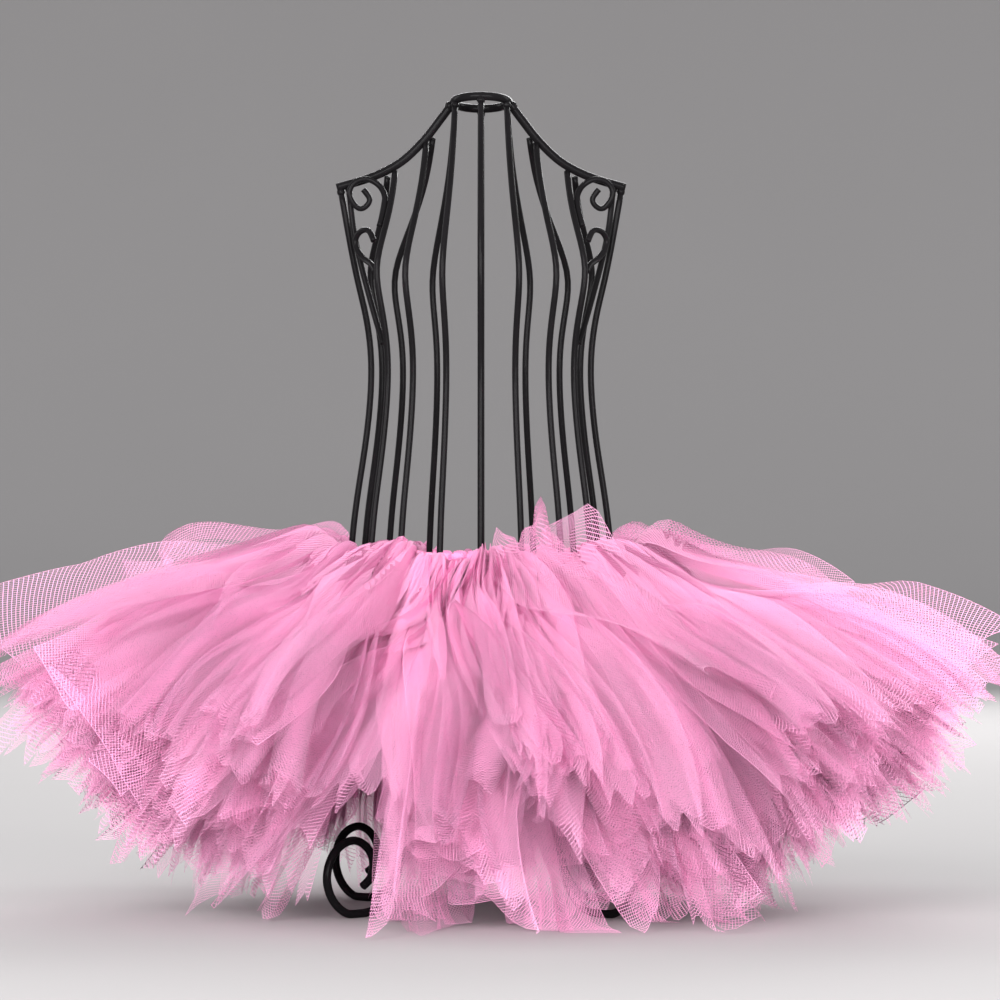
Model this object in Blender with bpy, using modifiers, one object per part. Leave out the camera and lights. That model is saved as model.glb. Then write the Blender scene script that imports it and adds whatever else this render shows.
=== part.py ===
"""A ballet tutu of knotted net strips on a small wire dress form.

Metres, +Z up. The origin is on the table under the middle of the form, and the front faces -Y.
The form is welded from round wire: a tilted neck ring, two shoulder wires, sixteen ribs, front
armhole wires with scrolls, a base ring and four scroll feet. The tutu is a waist elastic with net
strips looped round it side by side. The strips leave the waist in three tiers, and each one
spreads into a pleated fan with a ragged cut end.
"""

from collections import namedtuple
from math import atan2, cos, pi, radians, sin, sqrt

import bmesh
import bpy
import numpy as np
from mathutils import Vector

# ---------------------------------------------------------------- driving dimensions, in metres
GAP = 0.0003                    # air between pieces that touch in the real object
RIB_RADIUS = 0.0015             # 3 mm wire
FRAME_RADIUS = 0.0020           # 4 mm wire: rings, shoulders and feet
SCROLL_RADIUS = 0.0014          # 2.8 mm wire
WIRE_SIDES_RESOLUTION = 2       # eight flat sides round a wire

NECK_HEIGHT = 0.3790
NECK_RADIUS = 0.0130
NECK_TILT = radians(9.0)        # the front of the ring is the high side
CHEST_BULGE = 0.0055            # how far a rib swells between its top and the chest

FOOT_PLANE = Vector((0.75, 0.66, 0.0)).normalized()   # direction of a foot, seen from above
FOOT_SCROLL_OUT = 0.0770        # scroll centre, out from the form's axis
FOOT_SCROLL_UP = 0.0192         # scroll centre, above the table

WAIST_HEIGHT = 0.1585           # middle of the elastic
ELASTIC_HEIGHT = 0.0150
ELASTIC_THICKNESS = 0.0012
ELASTIC_HALF_WIDTH = 0.0671     # to the middle of its thickness
ELASTIC_HALF_DEPTH = 0.0518
CLOTH_THICKNESS = 0.0012
KNOT_CLEARANCE = 0.0013         # elastic's face to the middle of the strip round it
KNOT_WIDTH = 0.0112
STRIP_COUNT = 27
PLEAT_COLUMNS = 7               # folds and edges across a strip
TAIL_SECTIONS = 8               # sections from the knot to the cut end
FAN_GAP = 0.0012                # between two fans of one tier, measured at the knots
FULL_SPREAD_AT = 0.85           # share of a tail's length where its fan is fully open
DEPTH_REACH = 0.86              # a strip's reach to the front, as a share of its reach to the side
FOLD_REACH = 0.030              # ragged cut ends, as shares of a tail's length: outer folds,
EDGE_REACH = 0.040              # the two edges of the net,
UNEVEN_REACH = 0.022            # and the uneven cut

# Points along each wire, and round each ring.
RIB_POINTS = 13
SHOULDER_POINTS = 13
ARMHOLE_POINTS = 13
UPPER_SCROLL_POINTS = 22
LOWER_SCROLL_POINTS = 16
FOOT_POINTS = 29
NECK_RING_POINTS = 24
BASE_RING_POINTS = 40
ELASTIC_POINTS = 48

# ------------------------------------------------------------------------------ named tables
# The body of the form, from the base ring up: half width, and depth to the front and the back.
Level = namedtuple("Level", "height half_width front back")
TORSO = (
    Level(0.1300, 0.0640, 0.0480, 0.0480),
    Level(0.1650, 0.0613, 0.0462, 0.0465),
    Level(0.1900, 0.0588, 0.0445, 0.0445),
    Level(0.2200, 0.0540, 0.0410, 0.0400),
    Level(0.2500, 0.0513, 0.0388, 0.0365),
    Level(0.2750, 0.0532, 0.0425, 0.0372),
    Level(0.3000, 0.0592, 0.0480, 0.0395),
)

# Ribs in pairs, left and right: where they hang from, and their angle from the middle line.
# The neck ribs hang from the neck ring, so their place on the shoulder is not used.
Rib = namedtuple("Rib", "name front_x back_x front_angle back_angle")
RIBS = (
    Rib("neck", None, None, 18.0, 24.0),
    Rib("inner", 0.0254, 0.0218, 37.5, 46.0),
    Rib("outer", 0.0400, 0.0436, 57.0, 65.0),
)
NECK_RIB_TURN = radians(68.0)   # on the neck ring, from its front and from its back

# One shoulder wire, out from the neck ring to the square tip.
Station = namedtuple("Station", "x z")
SHOULDER = (
    Station(0.0207, 0.3688), Station(0.0263, 0.3616), Station(0.0357, 0.3522),
    Station(0.0451, 0.3465), Station(0.0545, 0.3427), Station(0.0677, 0.3389),
)

# The front edge of one armhole, from under the shoulder wire to the outer front rib.
Route = namedtuple("Route", "x y z")
ARMHOLE_TOP_X = 0.0622
ARMHOLE = (
    Route(0.0600, -0.0034, 0.3200), Route(0.0566, -0.0074, 0.3040), Route(0.0525, -0.0117, 0.2885),
    Route(0.0484, -0.0160, 0.2740), Route(0.0455, -0.0193, 0.2650),
)
UPPER_SCROLL = (
    Route(0.0552, -0.0041, 0.3378), Route(0.0519, -0.0041, 0.3326), Route(0.0569, -0.0041, 0.3283),
    Route(0.0620, -0.0044, 0.3350), Route(0.0598, -0.0041, 0.3408), Route(0.0536, -0.0041, 0.3428),
    Route(0.0478, -0.0050, 0.3398), Route(0.0450, -0.0078, 0.3345), Route(0.0454, -0.0122, 0.3280),
    Route(0.0474, -0.0165, 0.3200),
)
LOWER_SCROLL = (
    Route(0.0500, -0.0180, 0.3130), Route(0.0524, -0.0150, 0.3182), Route(0.0566, -0.0110, 0.3177),
    Route(0.0589, -0.0084, 0.3138), Route(0.0579, -0.0097, 0.3090), Route(0.0546, -0.0130, 0.3048),
    Route(0.0510, -0.0180, 0.3020), Route(0.0492, -0.0224, 0.2985),
)

# A foot's leg, from the base ring down, then its scroll by turn and radius.
Leg = namedtuple("Leg", "out height")
LEG = (Leg(0.0553, 0.1274), Leg(0.0535, 0.1000), Leg(0.0513, 0.0650), Leg(0.0500, 0.0400))
Turn = namedtuple("Turn", "angle radius")
FOOT_SCROLL = (
    Turn(180.0, 0.0262), Turn(222.0, 0.0215), Turn(256.0, 0.0181), Turn(284.0, 0.0181),
    Turn(320.0, 0.0171), Turn(360.0, 0.0171), Turn(405.0, 0.0171), Turn(450.0, 0.0170),
    Turn(495.0, 0.0143), Turn(540.0, 0.0105), Turn(585.0, 0.0068),
)

# A tier of strips: how its tails leave the knots, in degrees above level, how far their ends lie
# below level, and how long they are, at the sides, at the front and at the back.
Fall = namedtuple("Fall", "rise dip length")
Tier = namedtuple("Tier", "name knot_height side front back pleat_depth")
TIERS = (
    Tier("upper", 0.0060, Fall(27.0, 6.0, 0.163), Fall(-4.0, 30.0, 0.172),
         Fall(3.0, 20.0, 0.168), 0.0120),
    Tier("middle", 0.0000, Fall(-6.0, 27.0, 0.170), Fall(-26.0, 47.0, 0.172),
         Fall(-16.0, 38.0, 0.170), 0.0130),
    Tier("lower", -0.0062, Fall(-34.0, 53.0, 0.166), Fall(-44.0, 62.0, 0.159),
         Fall(-40.0, 58.0, 0.162), 0.0110),
)
RAISED_STRIP = 3                # this strip stands up in a peak, right of the front
RAISED_HEIGHT = 0.0180
RAISED_AT = 0.16                # share of the tail's length where the peak is

# ------------------------------------------------------------------------------ scene and finish


def clear_scene():
    """Remove everything that is in the file."""
    for thing in list(bpy.data.objects):
        bpy.data.objects.remove(thing, do_unlink=True)


def finish(name, colour, roughness, metallic):
    """Return a material with one Principled shader."""
    material = bpy.data.materials.new(name)
    material.use_nodes = True
    shader = material.node_tree.nodes["Principled BSDF"]
    shader.inputs["Base Color"].default_value = (*colour, 1.0)
    shader.inputs["Roughness"].default_value = roughness
    shader.inputs["Metallic"].default_value = metallic
    return material


def add(collection, name, data, material):
    """Place new data in the collection as an object of that name."""
    thing = bpy.data.objects.new(name, data)
    data.materials.append(material)
    collection.objects.link(thing)
    return thing


# ------------------------------------------------------------------------------ curves in space


def mix(low, high, share):
    """Return the value between two numbers."""
    return low + (high - low) * share


def spline_point(points, position):
    """Return the point at a position, 0 to len - 1, of a smooth curve through the points."""
    last = len(points) - 1
    start = min(int(position), last - 1)
    share = position - start
    before = points[start - 1] if start else points[0] * 2 - points[1]
    here, there = points[start], points[start + 1]
    after = points[start + 2] if start + 2 <= last else points[last] * 2 - points[last - 1]
    return 0.5 * (
        2 * here
        + (there - before) * share
        + (2 * before - 5 * here + 4 * there - after) * share ** 2
        + (3 * here - before - 3 * there + after) * share ** 3
    )


def smooth_route(points, count):
    """Return count points evenly spread over a smooth curve through the route's own points."""
    points = [Vector(point) for point in points]
    last = len(points) - 1
    return [spline_point(points, last * step / (count - 1)) for step in range(count)]


def wire(collection, name, route, radius, material, closed=False, turned=0.0):
    """Make a round wire along the route, as a bevelled curve with filled ends."""
    data = bpy.data.curves.new(name, "CURVE")
    data.dimensions = "3D"
    data.bevel_depth = radius
    data.bevel_resolution = WIRE_SIDES_RESOLUTION
    data.use_fill_caps = not closed
    spline = data.splines.new("POLY")
    spline.points.add(len(route) - 1)
    for point, place in zip(spline.points, route):
        point.co = (*place, 1.0)
        point.tilt = turned
    spline.use_cyclic_u = closed
    spline.use_smooth = True
    return add(collection, name, data, material)


def mirrored(route, side):
    """Return the route on the given side: 1 for +X, -1 for -X."""
    return [Vector((side * x, y, z)) for x, y, z in route]


def side_name(side):
    """Return left or right, as seen from the front."""
    return "right" if side > 0 else "left"


# ------------------------------------------------------------------------------ the dress form


def neck_point(angle):
    """Return a point on the middle of the neck ring's wire; angle 0 is the front."""
    across = NECK_RADIUS * sin(angle)
    ahead = NECK_RADIUS * cos(angle)
    return Vector((across, -ahead * cos(NECK_TILT), NECK_HEIGHT + ahead * sin(NECK_TILT)))


def torso_point(level, angle):
    """Return the point of the body at a level; the angle turns from the front."""
    depth = level.front if cos(angle) > 0 else level.back
    return Vector((level.half_width * sin(angle), -depth * cos(angle), level.height))


def clear_of(host, along, aim, radius=RIB_RADIUS):
    """Return the end of a wire that leaves a frame wire towards the aim, just clear of it.

    The host is on the middle of the frame wire, which runs along the given direction there.
    """
    leaving = (aim - host).normalized()
    slant = abs(leaving.dot(along.normalized()))
    distance = (FRAME_RADIUS + GAP + radius * slant) / sqrt(1.0 - slant ** 2)
    return host + leaving * distance


def shoulder_route():
    """Return the right shoulder wire's route, from the side of the neck ring."""
    stations = [Vector((x, 0.0, z)) for x, z in SHOULDER]
    start = clear_of(*neck_host(pi / 2), stations[0], FRAME_RADIUS)
    return smooth_route([start, *stations], SHOULDER_POINTS)


def neck_host(angle):
    """Return a point on the middle of the neck ring and the ring's direction there."""
    here = neck_point(angle)
    return here, neck_point(angle + 0.01) - here


def shoulder_host(x):
    """Return the point on the middle of the right shoulder wire at x, and its direction there."""
    route = shoulder_route()
    start = max(index for index, point in enumerate(route[:-1]) if point.x <= x)
    along = route[start + 1] - route[start]
    return route[start] + along * (x - route[start].x) / along.x, along


def rib_route(host, along, angle):
    """Return a rib's route from the wire it hangs on, over the chest or back, to the base ring."""
    body = [torso_point(level, angle) for level in reversed(TORSO)]
    chest = host.lerp(body[0], 0.5)
    chest.x = mix(host.x, body[0].x, 0.3)
    chest.y -= CHEST_BULGE * cos(angle)
    body[-1].z += FRAME_RADIUS + GAP
    return smooth_route([clear_of(host, along, chest), chest, *body], RIB_POINTS)


def rib_hosts(rib):
    """Return where the front and the back rib of a pair hang from."""
    if rib.front_x is None:
        return neck_host(NECK_RIB_TURN), neck_host(pi - NECK_RIB_TURN)
    return shoulder_host(rib.front_x), shoulder_host(rib.back_x)


def make_ribs(collection, material):
    """Make the sixteen ribs: two on the middle line, two at the sides and twelve between."""
    for name, angle in (("rib_front_centre", 0.0), ("rib_back_centre", pi)):
        wire(collection, name, rib_route(*neck_host(angle), angle), RIB_RADIUS, material)
    for side in (1, -1):
        word = side_name(side)
        make_side_rib(collection, f"rib_side_{word}", side, material)
        for rib in RIBS:
            front, back = rib_hosts(rib)
            for face, host, angle in (
                ("front", front, radians(rib.front_angle)),
                ("back", back, pi - radians(rib.back_angle)),
            ):
                route = mirrored(rib_route(*host, angle), side)
                wire(collection, f"rib_{face}_{rib.name}_{word}", route, RIB_RADIUS, material)


def make_side_rib(collection, name, side, material):
    """Make the rib that drops from the tip of a shoulder down the flank."""
    flank = [torso_point(level, pi / 2) for level in reversed(TORSO)]
    for point in flank:
        point.y = 0.0
    flank[-1].z += FRAME_RADIUS + GAP
    tip = clear_of(*shoulder_host(SHOULDER[-1].x - RIB_RADIUS), flank[0])
    route = mirrored(smooth_route([tip, *flank], RIB_POINTS), side)
    wire(collection, name, route, RIB_RADIUS, material)


def make_shoulders(collection, material):
    """Make the two shoulder wires, the front armhole wires and their scrolls."""
    armhole_top = clear_of(*shoulder_host(ARMHOLE_TOP_X), Vector(ARMHOLE[0]), SCROLL_RADIUS)
    armhole = [armhole_top, *ARMHOLE]
    for side in (1, -1):
        word = side_name(side)
        for name, route, radius in (
            ("shoulder", shoulder_route(), FRAME_RADIUS),
            ("armhole", smooth_route(armhole, ARMHOLE_POINTS), SCROLL_RADIUS),
            ("scroll_upper", smooth_route(UPPER_SCROLL, UPPER_SCROLL_POINTS), SCROLL_RADIUS),
            ("scroll_lower", smooth_route(LOWER_SCROLL, LOWER_SCROLL_POINTS), SCROLL_RADIUS),
        ):
            wire(collection, f"{name}_{word}", mirrored(route, side), radius, material)


def make_rings(collection, material):
    """Make the neck ring and the base ring that the ribs stand on."""
    neck = [neck_point(2 * pi * step / NECK_RING_POINTS) for step in range(NECK_RING_POINTS)]
    wire(collection, "neck_ring", neck, FRAME_RADIUS, material, closed=True)
    low = TORSO[0]
    base = [
        Vector((low.half_width * sin(angle), -low.front * cos(angle), low.height))
        for angle in (2 * pi * step / BASE_RING_POINTS for step in range(BASE_RING_POINTS))
    ]
    wire(collection, "base_ring", base, FRAME_RADIUS, material, closed=True)


def make_feet(collection, material):
    """Make the four legs, each ending in a scroll that stands on a short flat."""
    rest = FRAME_RADIUS * cos(pi / 8)      # the wire's lowest flat side is on the table
    profile = [(leg.out, leg.height) for leg in LEG]
    for turn in FOOT_SCROLL:
        out = FOOT_SCROLL_OUT + turn.radius * cos(radians(turn.angle))
        up = FOOT_SCROLL_UP + turn.radius * sin(radians(turn.angle))
        profile.append((out, max(up, rest)))
    flat = smooth_route([(out, 0.0, up) for out, up in profile], FOOT_POINTS)
    for side in (1, -1):
        for toward, face in ((-1, "front"), (1, "back")):
            route = [
                Vector((side * point.x * FOOT_PLANE.x, toward * point.x * FOOT_PLANE.y,
                        max(point.z, rest)))
                for point in flat
            ]
            name = f"foot_{face}_{side_name(side)}"
            wire(collection, name, route, FRAME_RADIUS, material, turned=pi / 8)


# ------------------------------------------------------------------------------ the tutu


def band_point(turn, out):
    """Return x and y at a turn round the waist, a distance out from the elastic's middle."""
    return (
        (ELASTIC_HALF_WIDTH + out) * sin(turn),
        -(ELASTIC_HALF_DEPTH + out * DEPTH_REACH) * cos(turn),
    )


def elastic_lengths():
    """Return turns from the front and the elastic's length up to each of them."""
    turns = np.linspace(0.0, 2 * pi, 721)
    places = np.array([band_point(turn, 0.0) for turn in turns])
    steps = np.hypot(*np.diff(places, axis=0).T)
    return turns, np.concatenate(([0.0], np.cumsum(steps)))


TURNS, LENGTHS = elastic_lengths()
PITCH = LENGTHS[-1] / STRIP_COUNT


def turn_at(place):
    """Return the turn at a place along the elastic, counted in knots from the front."""
    rounds, rest = divmod(place, STRIP_COUNT)
    return float(np.interp(rest * PITCH, LENGTHS, TURNS)) + 2 * pi * rounds


def make_elastic(collection, material):
    """Make the waist elastic: a flat ribbon round the form."""
    data = bpy.data.curves.new("waist_elastic", "CURVE")
    data.dimensions = "3D"
    data.extrude = ELASTIC_HEIGHT / 2
    spline = data.splines.new("POLY")
    spline.points.add(ELASTIC_POINTS - 1)
    for step, point in enumerate(spline.points):
        x, y = band_point(2 * pi * step / ELASTIC_POINTS, 0.0)
        point.co = (x, y, 0.0, 1.0)
    spline.use_cyclic_u = True
    band = add(collection, "waist_elastic", data, material)
    band.location.z = WAIST_HEIGHT
    wall = band.modifiers.new("thickness", "SOLIDIFY")
    wall.thickness = ELASTIC_THICKNESS
    wall.offset = 0.0


def tail_fall(tier, turn):
    """Return the tier's rise, dip and length at a turn; the front and the back hang lower."""
    facing = cos(turn)
    end = tier.front if facing > 0.0 else tier.back
    share = abs(facing) ** 3
    return Fall(*(mix(side, other, share) for side, other in zip(tier.side, end)))


def tail_point(fall, knot_height, length, share):
    """Return a tail's distance out and height at a share of its length, with its slope."""
    rise, dip = radians(fall.rise), radians(fall.dip)
    start = (0.0040, WAIST_HEIGHT + knot_height)
    bend = (start[0] + 0.45 * length * cos(rise), start[1] + 0.45 * length * sin(rise))
    end = (start[0] + length * cos(dip), start[1] - length * sin(dip))
    rest = 1.0 - share
    place = [rest ** 2 * a + 2 * rest * share * b + share ** 2 * c
             for a, b, c in zip(start, bend, end)]
    slope = [rest * (b - a) + share * (c - b) for a, b, c in zip(start, bend, end)]
    return place[0], place[1], atan2(slope[1], slope[0])


def raised(share):
    """Return the extra height of the raised strip, a soft peak near the waist."""
    apart = (share - RAISED_AT) / (0.11 if share < RAISED_AT else 0.16)
    return RAISED_HEIGHT / (1.0 + apart ** 2) ** 1.5 * min(1.0, share / 0.06)


def knot_sections():
    """Return the strip's route round the elastic: out and height for each section."""
    side = ELASTIC_THICKNESS / 2 + KNOT_CLEARANCE
    top = ELASTIC_HEIGHT / 2 + KNOT_CLEARANCE
    return ((side, -top), (-side, -top), (-side, top), (side, top))


def strip_grid(index, tier):
    """Return the rows of points of one strip, from its loop round the elastic to its cut end."""
    middle = index + 0.5
    half_knot = KNOT_WIDTH / 2 / PITCH
    half_fan = len(TIERS) / 2 - FAN_GAP / 2 / PITCH
    across = [2 * column / (PLEAT_COLUMNS - 1) - 1 for column in range(PLEAT_COLUMNS)]
    rows = [
        [(*band_point(turn_at(middle + half_knot * place), out), WAIST_HEIGHT + height)
         for place in across]
        for out, height in knot_sections()
    ]
    for section in range(TAIL_SECTIONS):
        share = section / (TAIL_SECTIONS - 1)
        half = mix(half_knot, half_fan, min(1.0, share / FULL_SPREAD_AT))
        rows.append([
            fan_point(index, tier, column, place, turn_at(middle + half * place), share)
            for column, place in enumerate(across)
        ])
    return rows


def fan_point(index, tier, column, place, turn, share):
    """Return one point of a strip's fan, on a fold or on an edge of the sheet."""
    fall = tail_fall(tier, turn)
    fold = 1 if (column + index) % 2 else -1
    uneven = sin(3.7 * index + 2.1 * column)
    ragged = 1.0 + FOLD_REACH * fold + EDGE_REACH * abs(place) + UNEVEN_REACH * uneven
    length = fall.length * mix(1.0, ragged, share)
    out, height, slope = tail_point(fall, tier.knot_height, length, share)
    depth = fold * tier.pleat_depth * share ** 0.8 * (0.85 + 0.15 * sin(1.3 * index))
    if index == RAISED_STRIP:
        height += raised(share) * (1.0 - 0.5 * place ** 2)
    x, y = band_point(turn, out - depth * sin(slope))
    return x, y, height + depth * cos(slope)


def make_strip(collection, name, rows, material):
    """Make one strip as an open pleated sheet with a wall thickness."""
    data = bpy.data.meshes.new(name)
    sheet = bmesh.new()
    grid = [[sheet.verts.new(point) for point in row] for row in rows]
    for row, following in zip(grid, grid[1:]):
        for left, right, far_right, far_left in zip(row, row[1:], following[1:], following):
            sheet.faces.new((left, right, far_right, far_left))
    sheet.to_mesh(data)
    sheet.free()
    strip = add(collection, name, data, material)
    wall = strip.modifiers.new("thickness", "SOLIDIFY")
    wall.thickness = CLOTH_THICKNESS
    wall.offset = 0.0
    wall.use_even_offset = True


def make_tutu(collection, net, elastic):
    """Make the elastic and the strips, which take turns to join the three tiers."""
    make_elastic(collection, elastic)
    for index in range(STRIP_COUNT):
        tier = TIERS[index % len(TIERS)]
        name = f"strip_{tier.name}_{index // len(TIERS) + 1}"
        make_strip(collection, name, strip_grid(index, tier), net)


def build():
    """Build the dress form and the tutu in their own collection."""
    clear_scene()
    collection = bpy.data.collections.new("ballet_tutu")
    bpy.context.scene.collection.children.link(collection)
    enamel = finish("black_enamel", (0.012, 0.011, 0.013), 0.25, 0.0)
    net = finish("pink_net", (0.95, 0.27, 0.50), 0.80, 0.0)
    elastic = finish("pink_elastic", (0.80, 0.14, 0.36), 0.75, 0.0)
    make_rings(collection, enamel)
    make_shoulders(collection, enamel)
    make_ribs(collection, enamel)
    make_feet(collection, enamel)
    make_tutu(collection, net, elastic)


build()
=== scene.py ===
"""A ballet tutu of knotted net strips, standing on a small wire dress form.

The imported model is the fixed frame. The wires are smoothed copies of its wire nodes, with weld
beads where they meet. Each strip node is replaced by the real net that it stands for: two knots
round the elastic, each of two strips laid together, and their eight free tails, gathered at the
knot and open at the cut end.
"""

import logging
import math
from dataclasses import dataclass, field, replace
from enum import Enum
from typing import Any

import bmesh
import bpy
import numpy as np
from mathutils import Matrix, Vector, noise
from mathutils.bvhtree import BVHTree

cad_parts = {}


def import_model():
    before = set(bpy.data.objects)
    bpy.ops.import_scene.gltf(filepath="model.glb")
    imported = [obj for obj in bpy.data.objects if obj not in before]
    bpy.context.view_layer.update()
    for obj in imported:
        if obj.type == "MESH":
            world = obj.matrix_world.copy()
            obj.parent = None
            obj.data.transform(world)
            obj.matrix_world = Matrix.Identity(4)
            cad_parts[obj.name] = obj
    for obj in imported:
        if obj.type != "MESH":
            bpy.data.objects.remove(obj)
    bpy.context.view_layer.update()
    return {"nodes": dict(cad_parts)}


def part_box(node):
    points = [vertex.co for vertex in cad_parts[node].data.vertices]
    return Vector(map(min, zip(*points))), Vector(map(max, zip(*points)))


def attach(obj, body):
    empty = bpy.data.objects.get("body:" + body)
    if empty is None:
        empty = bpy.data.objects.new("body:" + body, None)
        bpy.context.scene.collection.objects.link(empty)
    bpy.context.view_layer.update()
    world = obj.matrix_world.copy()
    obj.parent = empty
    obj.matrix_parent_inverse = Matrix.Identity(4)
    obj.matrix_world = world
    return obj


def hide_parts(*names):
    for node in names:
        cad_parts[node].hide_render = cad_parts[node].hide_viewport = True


LOG = logging.getLogger("tutu")
BODY = "root"
NET_MAP = "OFBake"
SEAM_DISTANCE = 1e-6
FACING = "facing"
LIGHT_SPREAD = 0.7
BUNDLE_SEED, TAIL_SEED, KNOT_SEED, CREASE_SEED, EDGE_SEED = 100, 1000, 3000, 5000, 9000


# Shader maths


class Signal:
    """A number that varies over a surface, held by a shader socket, which takes part in sums."""

    def __init__(self, shader: "Shader", socket: bpy.types.NodeSocket) -> None:
        """Wraps a socket.

        Args:
            shader: the shader that the socket belongs to.
            socket: the output socket that gives the number.
        """
        self.shader = shader
        self.socket = socket

    def _math(self, operation: str, *terms: "Signal | float") -> "Signal":
        """Adds one Math node.

        Args:
            operation: the node's operation.
            terms: its inputs in order.

        Returns:
            The node's result.
        """
        node = self.shader.add("ShaderNodeMath", {"operation": operation}, dict(enumerate(terms)))
        return Signal(self.shader, node.outputs[0])

    def __add__(self, other: "Signal | float") -> "Signal":
        """Self plus other."""
        return self._math("ADD", self, other)

    __radd__ = __add__

    def __sub__(self, other: "Signal | float") -> "Signal":
        """Self minus other."""
        return self._math("SUBTRACT", self, other)

    def __rsub__(self, other: "Signal | float") -> "Signal":
        """Other minus self."""
        return self._math("SUBTRACT", other, self)

    def __mul__(self, other: "Signal | float") -> "Signal":
        """Self times other."""
        return self._math("MULTIPLY", self, other)

    __rmul__ = __mul__

    def __truediv__(self, other: "Signal | float") -> "Signal":
        """Self divided by other."""
        return self._math("DIVIDE", self, other)

    def part(self) -> "Signal":
        """The part of self after its whole number, from 0 to 1."""
        return self._math("FRACT", self)

    def folded(self, width: float) -> "Signal":
        """How far self is from the nearest whole multiple of width."""
        return self._math("PINGPONG", self, width / 2)

    def sine(self) -> "Signal":
        """The sine of self in radians."""
        return self._math("SINE", self)

    def below(self, level: "Signal | float") -> "Signal":
        """1 where self is less than level, else 0."""
        return self._math("LESS_THAN", self, level)

    def least(self, other: "Signal | float") -> "Signal":
        """The smaller of self and other."""
        return self._math("MINIMUM", self, other)


class Shader:
    """A new material, and the one way in which its nodes are made."""

    def __init__(self, name: str) -> None:
        """Makes an empty material.

        Args:
            name: the material's name.
        """
        self.material = bpy.data.materials.new(name)
        self.material.use_nodes = True
        self.tree = self.material.node_tree
        self.tree.nodes.clear()

    def add(
        self,
        kind: str,
        settings: dict[str, Any] | None = None,
        sockets: dict[str | int, Any] | None = None,
    ) -> bpy.types.Node:
        """Adds a node.

        Args:
            kind: the node's type.
            settings: what is set on the node itself, before its sockets.
            sockets: a value, colour, socket or Signal for each input, by name or number.

        Returns:
            The node.
        """
        node = self.tree.nodes.new(kind)
        for name, value in (settings or {}).items():
            setattr(node, name, value)
        for name, value in (sockets or {}).items():
            source = value.socket if isinstance(value, Signal) else value
            if isinstance(source, bpy.types.NodeSocket):
                self.tree.links.new(source, node.inputs[name])
            else:
                node.inputs[name].default_value = source
        return node

    def signal(self, node: bpy.types.Node, output: str | int = 0) -> Signal:
        """A node's output as a number for sums."""
        return Signal(self, node.outputs[output])

    def tint(self, amount: Signal, low: "Colour", high: "Colour") -> bpy.types.NodeSocket:
        """A colour between two.

        Args:
            amount: 0 gives low and 1 gives high.
            low: the colour at 0.
            high: the colour at 1.

        Returns:
            The mixed colour's socket.
        """
        mix = self.add(
            "ShaderNodeMix", {"data_type": "RGBA"}, {0: amount, 6: (*low, 1.0), 7: (*high, 1.0)}
        )
        return mix.outputs[2]

    def noise(self, scale: float, detail: float = 2.0) -> Signal:
        """Soft noise from 0 to 1, which follows the object.

        Args:
            scale: features per metre, roughly.
            detail: how many finer layers it has.

        Returns:
            The noise.
        """
        where = self.add("ShaderNodeTexCoord").outputs["Object"]
        node = self.add(
            "ShaderNodeTexNoise", None, {"Vector": where, "Scale": scale, "Detail": detail}
        )
        return self.signal(node)

    def finish(self, surface: bpy.types.NodeSocket) -> bpy.types.Material:
        """Joins the surface to the material's output and returns the material."""
        self.add("ShaderNodeOutputMaterial", None, {"Surface": surface})
        return self.material


Colour = tuple[float, float, float]
Pair = tuple[float, float]


# Finishes


@dataclass(frozen=True)
class Enamel:
    """Thick black enamel, glossy, dipped over wire."""

    name: str = "black_enamel"
    thin: Colour = (0.003, 0.003, 0.003)
    thick: Colour = (0.008, 0.007, 0.008)
    roughness: float = 0.16
    dust: float = 0.12
    runs_per_metre: float = 260.0

    def material(self) -> bpy.types.Material:
        """Makes the material: uneven gloss, faint runs in the dip, and a clear top coat."""
        shader = Shader(self.name)
        runs = shader.noise(self.runs_per_metre, 3.0)
        wear = shader.noise(self.runs_per_metre / 8, 4.0)
        bump = shader.add(
            "ShaderNodeBump", None, {"Strength": 0.35, "Distance": 0.0003, "Height": runs}
        )
        skin = shader.add(
            "ShaderNodeBsdfPrincipled",
            None,
            {
                "Base Color": shader.tint(wear, self.thin, self.thick),
                "Roughness": self.roughness + self.dust * wear,
                "Specular IOR Level": 0.02,
                "Coat Weight": 0.02,
                "Coat Roughness": 0.06,
                "Normal": bump.outputs["Normal"],
            },
        )
        return shader.finish(skin.outputs[0])


class Hold(Enum):
    """How tightly the net is held together."""

    OPEN = "open"
    BUNCHED = "bunched"


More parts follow.
